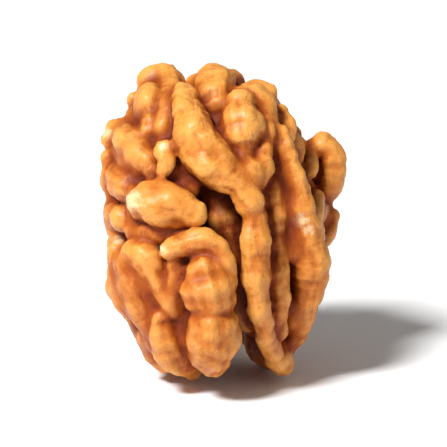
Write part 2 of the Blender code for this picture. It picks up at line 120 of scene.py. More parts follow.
# Each fold: name, face, how far it is raised off the egg, how many times it is swept again on the
# way down to its root, and its points. A point is the two coordinates seen on that face (x, z on the
# front and back, y, z on the sides, x, y on the top and bottom) and the fold's radius there.
FOLDS = [
    # the right half, front
    ("main_ridge", "front", 1.3, 3,
     [(-4.2, 31.0, 1.2), (-3.8, 29.6, 1.7), (-3.2, 27.8, 2.1), (-2.8, 26.0, 2.3), (-1.7, 24.2, 2.4),
      (0.1, 22.6, 2.2), (1.7, 21.3, 1.8), (2.8, 19.4, 1.5)]),
    ("main_ridge_foot", "front", 1.0, 3,
     [(3.3, 17.9, 1.35), (3.3, 15.8, 1.55), (3.4, 13.4, 1.6), (3.5, 11.2, 1.45), (3.7, 9.0, 1.3),
      (4.0, 7.2, 1.2), (4.5, 5.4, 1.15), (5.1, 4.0, 1.1)]),
    ("crevice_floor", "front", -0.9, 2, [(-1.2, 29.8, 1.0), (-0.4, 27.8, 1.1), (0.2, 25.8, 1.1)]),
    ("crown_knob", "front", 0.3, 2, [(-0.9, 32.3, 2.2), (-0.8, 31.0, 2.0), (-0.6, 29.8, 1.3)]),
    ("crown_knob_left", "front", -1.6, 2, [(-2.8, 32.1, 0.95), (-2.2, 31.4, 1.0)]),
    ("bulb", "front", 0.9, 3,
     [(1.9, 29.4, 1.8), (1.9, 27.8, 2.2), (2.0, 26.4, 1.9), (2.2, 25.2, 1.2)]),
    ("ridge_shoulder", "front", 1.0, 3, [(2.2, 23.9, 1.1), (2.5, 22.8, 1.6), (2.6, 21.2, 1.5)]),
    ("bulb_brow", "front", 0.1, 2, [(1.4, 30.5, 1.2), (3.0, 30.4, 1.5), (4.2, 29.4, 1.4)]),
    ("bulb_rim", "front", 0.5, 3,
     [(4.4, 28.8, 1.1), (4.6, 27.2, 1.1), (4.4, 25.6, 1.0), (4.1, 24.2, 1.1), (4.0, 23.0, 1.25),
      (3.7, 21.6, 0.9)]),
    ("crown_right", "front", -1.8, 2, [(2.3, 31.2, 0.9), (3.4, 31.5, 1.3), (4.7, 30.6, 1.2)]),
    ("shoulder_right", "front", -1.4, 3, [(5.8, 28.9, 1.1), (6.4, 27.6, 1.25), (6.5, 26.3, 1.0)]),
    ("valley_wall", "front", -3.9, 1,
     [(-1.8, 22.0, 1.6), (-0.8, 19.8, 1.9), (0.2, 17.4, 2.0), (0.9, 14.8, 1.9), (1.3, 12.2, 1.8),
      (1.7, 9.8, 1.6), (2.4, 7.4, 1.3)]),
    ("outer_ridge", "front", 0.6, 3,
     [(6.0, 26.6, 0.9), (6.4, 25.4, 1.1), (7.0, 23.9, 1.1), (7.6, 22.2, 1.15), (8.1, 20.4, 1.2),
      (8.3, 18.9, 1.3)]),
    ("outer_ridge_foot", "front", 0.8, 3,
     [(8.6, 17.6, 1.3), (9.0, 15.8, 1.75), (9.2, 13.4, 1.95), (9.1, 11.0, 1.9), (8.7, 9.0, 1.75),
      (8.2, 7.2, 1.6), (7.5, 5.4, 1.4), (6.6, 4.2, 1.2)]),
    ("inner_ridge", "front", -1.0, 2,
     [(5.2, 21.6, 0.6), (5.5, 19.4, 0.9), (5.6, 17.2, 1.0), (5.8, 14.6, 1.05), (5.7, 12.2, 1.15),
      (5.9, 9.8, 1.1), (5.8, 7.6, 1.0), (5.7, 5.8, 0.9)]),
    ("groove_floor", "front", -1.3, 2,
     [(5.2, 25.4, 1.0), (5.6, 23.4, 1.1), (6.4, 21.0, 1.2), (7.0, 18.0, 1.3), (7.2, 14.6, 1.3)]),
    ("ear", "front", -1.8, 0,
     [(10.6, 25.6, 1.6), (11.5, 24.9, 1.65), (11.8, 23.4, 1.6), (11.5, 21.8, 1.5), (10.9, 20.4, 1.4),
      (10.2, 19.2, 1.3), (9.6, 18.0, 1.3)]),
    ("ear_shell", "front", -3.2, 0, [(10.2, 24.6, 1.5), (10.2, 23.2, 1.6), (10.0, 21.6, 1.5)]),
    ("ear_lip", "front", -2.2, 0, [(9.5, 25.6, 1.05), (9.2, 24.4, 0.8), (9.3, 22.8, 0.8)]),
    ("ear_root", "front", -1.5, 3, [(9.8, 20.0, 1.1), (9.4, 18.0, 1.3), (9.7, 16.0, 1.2)]),
    ("ear_foot", "front", -2.2, 2, [(11.6, 18.0, 1.0), (11.2, 16.9, 1.15), (10.5, 15.6, 1.15)]),
    # the left half, front
    ("crown_left", "front", 0.4, 3,
     [(-7.3, 32.3, 1.8), (-7.3, 30.6, 1.9), (-7.5, 28.8, 1.5), (-7.6, 27.0, 1.2)]),
    ("crown_left_inner", "front", 0.2, 3,
     [(-6.1, 32.6, 1.65), (-5.7, 31.0, 1.6), (-5.8, 29.2, 1.3), (-6.2, 27.2, 1.0)]),
    ("crown_floor", "front", -0.8, 2,
     [(-5.4, 28.6, 1.2), (-5.8, 26.6, 1.4), (-5.6, 24.6, 1.4), (-4.7, 22.6, 1.4), (-3.6, 20.8, 1.3)]),
    ("crown_flank", "front", 0.1, 3,
     [(-9.3, 30.4, 0.9), (-9.0, 29.2, 1.25), (-8.7, 27.6, 1.2), (-8.0, 26.0, 1.0)]),
    ("upper_lobe", "front", 0.9, 2,
     [(-11.4, 27.2, 1.2), (-10.4, 26.8, 1.75), (-9.3, 25.6, 1.9), (-8.2, 24.0, 1.5), (-7.5, 22.8, 1.0)]),
    ("upper_lobe_face", "front", 1.1, 2, [(-11.3, 26.8, 1.2), (-10.2, 25.8, 1.7), (-9.0, 24.4, 1.5)]),
    ("upper_lobe_edge", "front", 0.5, 2,
     [(-12.1, 26.3, 0.85), (-11.0, 25.3, 1.2), (-9.8, 24.1, 1.3), (-8.6, 22.9, 1.0)]),
    ("side_lobe", "front", 0.8, 2,
     [(-11.7, 24.0, 1.2), (-11.2, 22.8, 1.9), (-10.2, 21.4, 1.9), (-9.2, 20.6, 1.3)]),
    ("side_lobe_tip", "front", 0.5, 2, [(-11.7, 22.0, 1.4), (-11.3, 20.3, 1.4)]),
    ("nub", "front", 1.7, 2, [(-6.1, 24.9, 1.1), (-5.9, 23.7, 0.9), (-6.3, 22.7, 0.75)]),
    ("pear_lobe", "front", 1.7, 1,
     [(-8.4, 19.4, 1.9), (-7.0, 19.4, 2.5), (-5.3, 19.1, 2.25), (-4.0, 18.7, 1.75), (-3.0, 18.4, 1.35)]),
    ("pear_lobe_crest", "front", 2.0, 1, [(-7.8, 20.5, 1.4), (-6.5, 20.5, 1.5), (-5.0, 19.9, 1.3)]),
    ("small_knob", "front", 0.5, 2, [(-11.2, 18.2, 1.65), (-10.2, 17.8, 1.5)]),
    ("pear_floor", "front", 0.2, 1,
     [(-9.2, 16.4, 1.2), (-7.4, 16.3, 1.3), (-5.6, 16.5, 1.3), (-3.6, 17.0, 1.2)]),
    ("lobe_floor", "front", -0.4, 2, [(-9.6, 22.8, 1.2), (-8.8, 19.4, 1.5), (-8.4, 16.4, 1.5)]),
    # the left half's lower knob, the end of a lobe that faces the front
    ("knob_left", "front", 1.2, 1,
     [(-10.6, 14.0, 1.6), (-10.4, 12.0, 1.9), (-9.7, 10.2, 2.0), (-8.7, 8.6, 1.8), (-7.7, 7.0, 1.5)]),
    ("knob_left_flank", "front", 0.6, 1, [(-11.2, 10.6, 1.0), (-10.6, 9.0, 1.1), (-9.5, 7.7, 1.0)]),
    ("knob_body", "front", 0.7, 1,
     [(-9.4, 12.8, 2.3), (-8.6, 10.8, 2.5), (-7.8, 8.8, 2.3), (-7.0, 6.8, 2.0), (-6.4, 4.8, 1.7)]),
    ("knob_top", "front", 1.5, 1,
     [(-9.1, 14.3, 1.5), (-8.0, 13.6, 1.7), (-7.3, 12.2, 1.6), (-6.7, 10.8, 1.35), (-5.9, 9.6, 1.15),
      (-5.1, 8.2, 0.9)]),
    ("knob_gusset", "front", 1.5, 1,
     [(-4.9, 13.2, 1.0), (-4.8, 11.6, 1.0), (-5.4, 9.8, 1.0), (-5.2, 8.6, 0.8)]),
    ("knob_foot", "front", 2.4, 1,
     [(-6.6, 7.4, 1.0), (-6.2, 5.8, 1.5), (-5.6, 4.2, 1.8), (-4.7, 2.9, 1.5), (-3.5, 1.9, 1.1)]),
    ("knob_foot_flank", "front", 1.6, 1, [(-8.0, 5.6, 1.1), (-7.3, 3.7, 1.3), (-6.3, 2.2, 1.1)]),
    ("knob_groove", "front", 1.0, 1,
     [(-4.6, 12.0, 1.0), (-4.4, 8.5, 1.0), (-3.9, 5.0, 1.0), (-3.2, 2.6, 0.9)]),
    ("arch", "front", 2.4, 1,
     [(-5.6, 14.5, 0.9), (-4.6, 14.9, 1.2), (-3.2, 15.3, 1.35), (-1.8, 15.3, 1.35), (-0.8, 14.7, 1.3),
      (-0.2, 13.5, 1.25), (0.2, 12.0, 1.2)]),
    ("knob_bulb_upper", "front", 2.4, 2, [(-1.8, 12.2, 2.2), (-1.6, 11.1, 2.95), (-1.4, 9.9, 2.6)]),
    ("knob_bulb_lower", "front", 3.0, 2,
     [(-1.2, 6.6, 2.6), (-1.2, 5.4, 2.85), (-1.3, 4.0, 2.4), (-1.4, 2.7, 1.6)]),
    # the crown, seen from above
    ("top_left", "top", -0.4, 2, [(-7.6, -1.0, 1.4), (-7.0, 1.6, 1.6), (-5.6, 3.8, 1.5)]),
    ("top_left_inner", "top", -1.3, 2,
     [(-4.6, -2.4, 1.2), (-4.2, 0.2, 1.4), (-3.2, 2.4, 1.4), (-2.8, 5.0, 1.3)]),
    ("top_right_inner", "top", -0.2, 2, [(0.2, -1.2, 1.3), (0.8, 1.4, 1.5), (1.2, 4.2, 1.4)]),
    ("top_right", "top", -0.8, 2, [(3.4, -1.6, 1.3), (4.0, 1.0, 1.5), (4.8, 3.6, 1.4)]),
    # the left side
    ("left_a", "left", -0.3, 3,
     [(-1.6, 29.6, 1.2), (0.4, 28.4, 1.5), (2.6, 28.2, 1.4), (4.8, 26.8, 1.3)]),
    ("left_b", "left", -0.2, 3,
     [(-1.4, 25.4, 1.3), (1.0, 25.2, 1.5), (3.2, 23.8, 1.5), (4.0, 21.4, 1.4)]),
    ("left_c", "left", 0.0, 3,
     [(-0.4, 22.4, 1.3), (0.6, 20.2, 1.5), (0.4, 17.8, 1.5), (-0.4, 15.6, 1.4)]),
    ("left_d", "left", -0.1, 3,
     [(3.6, 18.6, 1.4), (3.8, 16.0, 1.5), (3.0, 13.4, 1.5), (3.4, 10.8, 1.4)]),
    ("left_e", "left", 0.0, 3,
     [(-2.4, 13.0, 1.3), (-0.2, 12.0, 1.6), (0.4, 9.4, 1.6), (-0.6, 7.2, 1.4)]),
    ("left_f", "left", 0.2, 2, [(-3.0, 18.4, 1.1), (-2.4, 20.4, 1.1)]),
    ("left_g", "left", -0.3, 2,
     [(-4.6, 7.4, 1.2), (-3.2, 5.6, 1.4), (-1.0, 4.6, 1.4), (1.2, 5.4, 1.3)]),
    ("left_h", "left", -0.2, 2, [(2.4, 8.4, 1.3), (3.4, 6.4, 1.4), (5.0, 5.6, 1.2)]),
    # the right side
    ("right_a", "right", -1.2, 3,
     [(1.2, 28.6, 1.2), (2.8, 26.6, 1.4), (4.2, 24.0, 1.5), (4.6, 21.4, 1.4)]),
    ("right_b", "right", -0.8, 3,
     [(-0.6, 21.6, 1.1), (1.6, 20.0, 1.3), (3.2, 18.0, 1.5), (3.6, 15.2, 1.5), (3.2, 12.4, 1.4)]),
    ("right_c", "right", -0.4, 3,
     [(-1.8, 16.4, 1.2), (0.0, 14.6, 1.4), (0.6, 12.0, 1.5), (0.0, 9.4, 1.4)]),
    ("right_d", "right", -0.4, 3, [(3.4, 9.8, 1.3), (3.0, 7.6, 1.4), (1.4, 6.0, 1.3)]),
    ("right_e", "right", -1.4, 3, [(-2.6, 27.4, 1.0), (-2.0, 25.6, 1.2), (-1.4, 23.6, 1.2)]),
    ("right_f", "right", -1.2, 3, [(-0.2, 27.4, 1.1), (1.0, 25.4, 1.3), (1.4, 23.4, 1.3)]),
    ("right_g", "right", -0.6, 3, [(-3.8, 9.2, 1.2), (-2.4, 7.4, 1.4), (-0.6, 6.4, 1.3)]),
    # the back, left half
    ("back_left_a", "back", 0.0, 3,
     [(-3.2, 31.0, 1.3), (-3.8, 28.6, 1.7), (-4.8, 26.2, 1.8), (-4.4, 23.8, 1.7), (-3.2, 21.6, 1.6),
      (-3.0, 19.4, 1.5), (-4.0, 17.4, 1.4)]),
    ("back_left_b", "back", 0.0, 3,
     [(-6.6, 30.4, 1.3), (-7.4, 28.2, 1.5), (-8.0, 25.8, 1.6), (-7.8, 23.2, 1.5)]),
    ("back_left_c", "back", 0.2, 3,
     [(-7.2, 21.8, 1.4), (-6.2, 19.8, 1.6), (-5.9, 17.6, 1.5), (-5.0, 15.6, 1.4)]),
    ("back_left_d", "back", 0.0, 3,
     [(-9.2, 19.8, 1.4), (-9.0, 17.2, 1.6), (-7.8, 15.0, 1.6), (-6.2, 13.4, 1.5), (-5.8, 11.0, 1.4)]),
    ("back_left_e", "back", 0.0, 3,
     [(-2.6, 15.0, 1.4), (-3.0, 12.8, 1.6), (-3.2, 10.0, 1.8), (-4.2, 7.6, 1.8), (-5.0, 5.4, 1.6)]),
    ("back_left_f", "back", 0.0, 3,
     [(-9.2, 12.2, 1.5), (-8.6, 9.8, 1.6), (-7.4, 7.6, 1.6), (-6.4, 5.6, 1.4)]),
    # the back, right half
    ("back_right_a", "back", 0.0, 3,
     [(1.4, 31.0, 1.3), (1.4, 28.6, 1.6), (2.4, 26.4, 1.8), (2.2, 23.8, 1.7), (1.2, 21.6, 1.6),
      (1.4, 19.2, 1.5)]),
    ("back_right_b", "back", 0.0, 3,
     [(4.8, 30.0, 1.3), (5.4, 27.6, 1.5), (5.2, 25.0, 1.4), (6.2, 22.8, 1.5), (6.0, 20.4, 1.4)]),
    ("back_right_c", "back", 0.1, 3,
     [(3.8, 20.4, 1.3), (4.2, 18.0, 1.6), (3.4, 15.8, 1.6), (1.8, 14.4, 1.5), (1.0, 12.4, 1.4)]),
    ("back_right_d", "back", 0.0, 3,
     [(7.6, 18.6, 1.3), (6.6, 16.6, 1.4), (6.2, 14.2, 1.6), (5.0, 12.0, 1.6), (4.2, 9.8, 1.5)]),
    ("back_right_e", "back", 0.0, 3,
     [(1.2, 9.6, 1.5), (1.8, 7.4, 1.7), (3.0, 5.8, 1.6), (4.6, 5.0, 1.4)]),
    ("back_right_f", "back", 0.0, 3,
     [(8.0, 13.4, 1.4), (7.6, 10.8, 1.6), (6.6, 8.4, 1.6), (5.8, 6.2, 1.4)]),
    # low folds on the floor of the valley at the back
    ("back_valley_a", "back", -2.0, 2, [(-1.4, 28.6, 1.2), (-0.5, 26.4, 1.3), (-0.9, 24.0, 1.2)]),
    ("back_valley_b", "back", -2.2, 2, [(-0.4, 22.6, 1.1), (-1.5, 20.6, 1.3), (-0.8, 18.2, 1.3)]),
    ("back_valley_c", "back", -2.2, 2, [(-0.4, 16.4, 1.1), (-1.0, 14.4, 1.3), (-0.4, 12.2, 1.2)]),
    # under the kernel: the folds that it stands on
    ("under_left", "bottom", -0.6, 2,
     [(-6.6, -4.6, 1.5), (-7.0, -1.6, 1.6), (-6.0, 1.6, 1.7), (-5.0, 5.0, 2.4)]),
    ("under_left_inner", "bottom", -0.8, 2, [(-3.0, -3.8, 1.5), (-3.2, -0.6, 1.5), (-2.6, 2.6, 1.6)]),
    ("under_right", "bottom", 0.4, 3, [(5.6, 0.8, 1.5), (5.0, 2.8, 1.6), (4.2, 5.2, 2.0)]),
    ("under_right_front", "bottom", 1.2, 3, [(5.6, -3.2, 1.3), (6.0, -1.2, 1.5), (5.8, 0.8, 1.4)]),
]

# The inner lumps, which close the folds from behind: centre and half axes of each.
LUMPS = [
    ((-6.0, 0.6, 19.8), (4.6, 7.0, 11.4)),
    ((-5.2, 0.4, 9.6), (5.6, 7.2, 7.0)),
    ((-8.6, -5.6, 10.9), (3.2, 2.8, 4.2)),
    ((-3.0, -7.4, 8.4), (3.4, 2.6, 5.0)),
    ((-7.6, -3.2, 29.0), (1.9, 3.2, 3.4)),
    ((3.8, 0.4, 17.6), (5.0, 8.0, 12.6)),
    ((3.4, -4.6, 28.0), (2.4, 3.6, 3.0)),
    ((-0.6, 0.9, 18.6), (3.2, 6.2, 10.6)),
    ((0.3, 0.8, 28.6), (2.8, 4.2, 3.4)),
]

# The relief of the skin, in millimetres: how far each kind stands up, and how wide it is.
LUMP_HEIGHT, LUMP_WIDTH = 0.8, 4.2
LOBULE_HEIGHT, LOBULE_WIDTH = 0.5, 3.0
BUMP_HEIGHT, BUMP_WIDTH = 0.45, 1.5
WRINKLE_HEIGHT, WRINKLE_WIDTH = 0.42, 0.9

# The detail of each kind's noise, and the middle of any noise.
LUMP_DETAIL = 1.0
BUMP_DETAIL = 2.0
WRINKLE_DETAIL = 1.5
NOISE_MIDDLE = 0.5

# Lobules are rounded cells: how soft their borders are, and how far from its middle, in cell widths, a
# cell is level with the skin.
LOBULE_SOFTNESS = 0.35
LOBULE_LEVEL = 0.45

# How the grain is squeezed for the wrinkles that run across a fold and for those that run along it.
ACROSS_GRAIN = (1.0, 0.3, 1.0)
ALONG_GRAIN = (0.22, 1.1, 1.0)

# Bumps and wrinkles fade in over this distance from a crease, in millimetres.
CREASE_FADE = (0.0, 0.8)

# How many rounds of blurring each measure of hollowness is taken against.
HOLLOW_ROUNDS = {"hollow_fine": 8, "hollow_wide": 90}

# The gap in the grain from one fold's number to the next, so that neighbours get unlike patterns.
FOLD_SPACING = 7.0

# The seed of the random number that tints each fold.
TINT_SEED = 11

# The skin is measured against the folds in this many blocks, to spare memory.
BLOCKS = 40

# Colours of the skin, from the palest worn flesh to the darkest painted crease shade. WHEAT goes on the
# rubbed crests and as a painted highlight; CHESTNUT colours the veins and specks and is painted shade on
# the flanks; UMBER is painted shade in the deepest creases.
FLESH = (0.80, 0.58, 0.33)
WHEAT = (0.76, 0.36, 0.076)
STRAW = (0.58, 0.185, 0.020)
HONEY = (0.41, 0.084, 0.005)
CHESTNUT = (0.20, 0.029, 0.003)
UMBER = (0.075, 0.009, 0.001)

# Where the skin is rubbed off or chipped on the front: x, z and how far it reaches, in millimetres.
WORN_SPOTS = [
    (-9.4, 19.6, 1.9),
    (-6.2, 25.3, 0.9),
    (8.1, 17.6, 1.2),
    (8.8, 16.5, 1.0),
    (-6.3, 14.6, 0.9),
    (-11.0, 15.6, 0.8),
    (-12.2, 26.9, 1.0),
]

# The noises of the skin's colour: width in millimetres, detail and roughness.
SKIN_NOISES = {
    "broad": (5.0, 2.0, 0.5),
    "mottle": (1.3, 4.0, 0.65),
    "specks": (0.30, 2.0, 0.5),
}

# The width of the small pits in the skin's fine bump, in millimetres.
PIT_WIDTH = 0.7

# Fibres follow the grain, squeezed by this much, with a noise of their own.
FIBRE_GRAIN = (0.30, 1.9, 1.0)
FIBRE_NOISE = (1.0, 3.0, 0.6)

# Veins are the borders of cells in the squeezed grain: they wander by this much, at this noise scale.
VEIN_GRAIN = (0.28, 0.75, 1.0)
VEIN_WANDER = 0.9
VEIN_WANDER_SCALE = 600.0

# Painted shade: the colour turns browner towards the foot and towards the right and paler towards the
# crown and the left, standing in for light from the upper left, over these distances in millimetres.
DRIFT_HEIGHT = 30
DRIFT_WIDTH = 24

# Where each smooth step of the skin's measures starts and ends.
STEPS = {
    "off_crease": (0.1, 0.9),
    "veins": (0.0, 0.09),
    "vein_patches": (0.40, 0.62),
    "low_down": (-0.4, 2.6),
    # The next two step the painted shade on the flanks of the folds and in the deepest creases.
    "painted_flank_shade": (-0.52, 0.82),
    "deep": (0.35, 1.6),
    # Rubbed skin on the proud crests, which also serves as a painted highlight.
    "worn_and_painted_highlight": (0.2, 2.5),
    "ragged": (0.20, 0.85),
    "spot_reach": (0.0, 0.25),
    "specks": (0.58, 0.72),
}

# What each measure starts from, and the share that each signal has in it.
MEASURES = {
    # Painted shade: browner towards the foot and towards the right, paler towards the crown and the left.
    "painted_drift_shade": (0.72, {"up": -0.65, "across": 0.10}),
    # Random tone of the skin, with the painted shade towards the foot and the right added in.
    "tone_and_painted_drift_shade": (-0.60, {"broad": 1.0, "mottle": 0.9, "tint": 0.6, "painted_drift_shade": 1.0}),
    # The next two are painted shade, on the flanks of the folds and in the deepest creases, from how hollow
    # and how sunk the skin is.
    "painted_flank_shade": (0.0, {"hollow_wide": 1.0, "low_down": 0.6, "hollow_fine": 1.5, "mottle": 0.2}),
    "deep": (0.0, {"hollow_wide": 1.2, "low_down": 0.7, "hollow_fine": 2.0}),
    # Rubbed skin on the proud crests, also a painted highlight that is paler towards the crown and the
    # left.
    "worn_and_painted_highlight": (
        0.0,
        {"mottle": 0.9, "broad": 0.8, "hollow_fine": -3.0, "hollow_wide": -1.5, "painted_drift_shade": -0.7},
    ),
    "ragged": (-1.2, {"worn_spot": 1.0, "mottle": 1.4, "specks": 1.0, "fibres": 1.0}),
    "bump": (0.0, {"mottle": 0.7, "specks": 0.3, "fibres": 0.4, "pits": 0.35, "veins": -0.25}),
    "roughness": (0.34, {"mottle": 0.22, "deep": 0.3, "painted_flank_shade": 0.1, "chipped": -0.12}),
    "coat": (0.05, {"worn_and_painted_highlight": 0.38, "chipped": 0.2}),
}

# How strongly the veins, the rubbed places with their painted highlight, the chips and the specks show.
VEIN_STRENGTH = 0.45
RUBBED_AND_HIGHLIGHT_STRENGTH = 0.8
CHIP_STRENGTH = 0.8
SPECK_STRENGTH = 0.35

# The skin's fine bump, its inner glow and its shine; lengths in millimetres.
SKIN_BUMP_STRENGTH = 0.85
SKIN_BUMP_DEPTH = 0.2
GLOW_WEIGHT = 0.15
GLOW_RADIUS = (1.0, 0.35, 0.1)
GLOW_DEPTH = 0.9
COAT_ROUGHNESS = 0.40
SPECULAR_LEVEL = 0.16

# The floor and the camera, in metres; the lens is in its own millimetres.
FLOOR_COLOUR = (0.93, 0.93, 0.93)
FLOOR_ROUGHNESS = 0.7
FLOOR_SIZE = 1.2
CAMERA_ELEVATION = math.radians(14)
CAMERA_DISTANCE = 0.42
CAMERA_LENS = 330.0
CAMERA_CLIP_START = 0.01

# The colour sockets of a Mix node, by number because its other sockets have the same names.
MIX_A, MIX_B, MIX_RESULT = 6, 7, 2

# Each lamp: name, its place from the middle of the kernel, its size and its power.
LIGHTS = [
    ("key", (-0.54, -0.60, 0.93), 0.28, 25.0),
    ("fill", (0.90, -0.80, 0.30), 0.80, 1.4),
]
WORLD_COLOUR = (1.0, 0.99, 0.97)
WORLD_STRENGTH = 0.24


class Wire:
    """An output socket that can be used in sums; a plain number becomes the node's own value."""

    def __init__(self, tree, socket):
        self.tree = tree
        self.socket = socket

    def maths(self, operation, *values, clamp=False):
        settings = {"operation": operation, "use_clamp": clamp}
        return add(self.tree, "ShaderNodeMath", settings, dict(enumerate(values)))

    def __add__(self, other):
        return self.maths("ADD", self, other)

    __radd__ = __add__

    def __sub__(self, other):
        return self.maths("SUBTRACT", self, other)

    def __rsub__(self, other):
        return self.maths("SUBTRACT", other, self)

    def __mul__(self, other):
        return self.maths("MULTIPLY", self, other)

    __rmul__ = __mul__

    def __truediv__(self, other):
        return self.maths("DIVIDE", self, other)

    def __rtruediv__(self, other):
        return self.maths("DIVIDE", other, self)

    def clamped(self):
        return self.maths("ADD", self, 0.0, clamp=True)

    def between(self, low, high):
        return step(self.tree, self, low, high)


def connect(tree, slot, value):
    """Links a wire into the slot, or sets the slot's own value."""
    if isinstance(value, Wire):
        tree.links.new(value.socket, slot)
    else:
        slot.default_value = value


def add(tree, kind, settings=None, sockets=None, out=0):
    """A node of this kind, its settings made first and then its sockets, as a wire from one output.

    Sockets and the output are given by name or by number.
    """
    node = tree.nodes.new(kind)
    for name, value in (settings or {}).items():
        setattr(node, name, value)
    for name, value in (sockets or {}).items():
        connect(tree, node.inputs[name], value)
    return Wire(tree, node.outputs[out])


def step(tree, value, low, high):
    """0 below low, 1 above high, and a smooth step from one to the other."""
    return add(
        tree,
        "ShaderNodeMapRange",
        {"interpolation_type": "SMOOTHSTEP"},
        {"Value": value, "From Min": low, "From Max": high, "To Min": 0.0, "To Max": 1.0},
    )


def vector_maths(tree, operation, a, b, out="Vector"):
    return add(tree, "ShaderNodeVectorMath", {"operation": operation}, {0: a, 1: b}, out)


def scaled(tree, vector, factor):
    return add(tree, "ShaderNodeVectorMath", {"operation": "SCALE"}, {0: vector, "Scale": factor})


def mix_colour(tree, factor, a, b):
    """Colour a where the factor is 0 and colour b where it is 1."""
    sockets = {"Factor": factor}
    for slot, value in ((MIX_A, a), (MIX_B, b)):
        sockets[slot] = value if isinstance(value, Wire) else (*value, 1.0)
    return add(tree, "ShaderNodeMix", {"data_type": "RGBA"}, sockets, MIX_RESULT)


def on_egg(face, a, b, raised):
    """The point of the egg seen at (a, b) on a face, moved outwards along the face's axis."""
    axis, sign = FACES[face]
    seen = [i for i in range(3) if i != axis]
    point = Vector((0.0, 0.0, 0.0))
    left_over = 1.0
    for i, value in zip(seen, (a, b)):
        point[i] = value
        left_over -= abs((value - EGG_CENTRE[i]) / EGG_HALF[i]) ** EGG_POWER
    depth = EGG_HALF[axis] * max(left_over, 0.0) ** (1 / EGG_POWER)
    point[axis] = EGG_CENTRE[axis] + sign * (depth + raised)
    return point


def catmull_rom(a, b, c, d, t):
    """The value between b and c, at t from 0 to 1."""
    return 0.5 * (2 * b + (c - a) * t + (2 * a - 5 * b + 4 * c - d) * t**2 + (3 * b - a - 3 * c + d) * t**3)


def smooth_path(points):
    """Points close together along a smooth curve, each with its radius as a fourth number."""
    ends = [points[0] * 2 - points[1], *points, points[-1] * 2 - points[-2]]
    path = []
    for a, b, c, d in zip(ends, ends[1:], ends[2:], ends[3:]):
        length = (c.xyz - b.xyz).length
        steps = max(2, math.ceil(length * RINGS_PER_RADIUS / b.w))
        path += [catmull_rom(a, b, c, d, i / steps) for i in range(steps)]
    path = [*path, points[-1]]
    return [Vector((*p.xyz, p.w * (1 + SWELL * noise.noise(p.xyz / SWELL_LENGTH)))) for p in path]


def round_ends(path):
    """The path with a hemisphere's radii added beyond each end."""
    first, last = path[0], path[-1]
    before = (first.xyz - path[1].xyz).normalized()
    after = (last.xyz - path[-2].xyz).normalized()
    cap = []
    for i in range(1, RINGS_PER_RADIUS + 2):
        angle = END_ANGLE * i / (RINGS_PER_RADIUS + 1)
        cap.append((math.sin(angle), math.cos(angle)))
    head = [Vector((*(first.xyz + before * first.w * s), first.w * c)) for s, c in reversed(cap)]
    tail = [Vector((*(last.xyz + after * last.w * s), last.w * c)) for s, c in cap]
    return head + path + tail


def root_of(point, depth):
    """The point carried inwards, towards the middle of its own half."""
    spine_x = LEFT_SPINE_X if point.x < VALLEY_X else RIGHT_SPINE_X
    target = Vector((spine_x, SPINE_Y, min(max(point.z, SPINE_LOW), SPINE_HIGH)))
    inwards = (target - point.xyz).normalized()
    return Vector((*(point.xyz + inwards * point.w * depth), point.w * (1 - ROOT_TAPER * depth)))


def drawn_points(face, raised, drawn):
    """The points of a drawn fold on the egg, each with its radius, the two ends diving in."""
    points = [Vector((*on_egg(face, a, b, raised), radius)) for a, b, radius in drawn]
    for end in (0, -1):
        a, b, radius = drawn[end]
        points[end] = Vector((*on_egg(face, a, b, raised - END_DIVE[face]), radius))
    return points


def fold_lines():
    """A mesh of lines, one for each sweep of each fold, and a loose point for each inner lump."""
    points, edges, radii, halves = [], [], [], []
    for _, face, raised, roots, drawn in FOLDS:
        flat = drawn_points(face, raised, drawn)
        for depth in ROOT_DEPTHS[: roots + 1]:
            path = round_ends(smooth_path([root_of(point, depth) for point in flat]))
            first = len(points)
            edges += [(first + i, first + i + 1) for i in range(len(path) - 1)]
            points += [place.xyz * MM for place in path]
            radii += [place.w * MM for place in path]
            halves += [Vector()] * len(path)
    for centre, half in LUMPS:
        points.append(Vector(centre) * MM)
        radii.append(0.0)
        halves.append(Vector(half) * MM)
    lines = bpy.data.meshes.new("fold_lines")
    lines.from_pydata(points, edges, [])
    lines.attributes.new("radius", "FLOAT", "POINT").data.foreach_set("value", radii)
    flat_halves = np.array(halves, np.float32).ravel()
    lines.attributes.new("half_axes", "FLOAT_VECTOR", "POINT").data.foreach_set("vector", flat_halves)
    return lines


def new_tree(name, inputs):
    """A Geometry Nodes tree with these named inputs, and its input sockets as wires by name."""
    tree = bpy.data.node_groups.new(name, "GeometryNodeTree")
    tree.interface.new_socket("Geometry", in_out="INPUT", socket_type="NodeSocketGeometry")
    for label, kind in inputs:
        tree.interface.new_socket(label, in_out="INPUT", socket_type=kind)
    tree.interface.new_socket("Geometry", in_out="OUTPUT", socket_type="NodeSocketGeometry")
    entry = tree.nodes.new("NodeGroupInput")
    ports = {socket.name: Wire(tree, socket) for socket in entry.outputs if socket.name}
    return tree, ports


def finish_tree(tree, geometry, material):
    """Ends the tree with real geometry in this material."""
    whole = add(tree, "GeometryNodeRealizeInstances", None, {"Geometry": geometry})
    painted = add(tree, "GeometryNodeSetMaterial", None, {"Geometry": whole, "Material": material})
    exit_node = tree.nodes.new("NodeGroupOutput")
    connect(tree, exit_node.inputs[0], painted)


def apply_tree(piece, tree, values):
    """Puts the tree on the piece as a modifier, its inputs set by their sockets' identifiers."""
    modifier = piece.modifiers.new(tree.name, "NODES")
    modifier.node_group = tree
    for item in tree.interface.items_tree:
        if item.in_out == "INPUT" and item.name in values:
            modifier[item.identifier] = values[item.name]


def attribute(tree, name, kind="FLOAT"):
    return add(tree, "GeometryNodeInputNamedAttribute", {"data_type": kind}, {"Name": name})


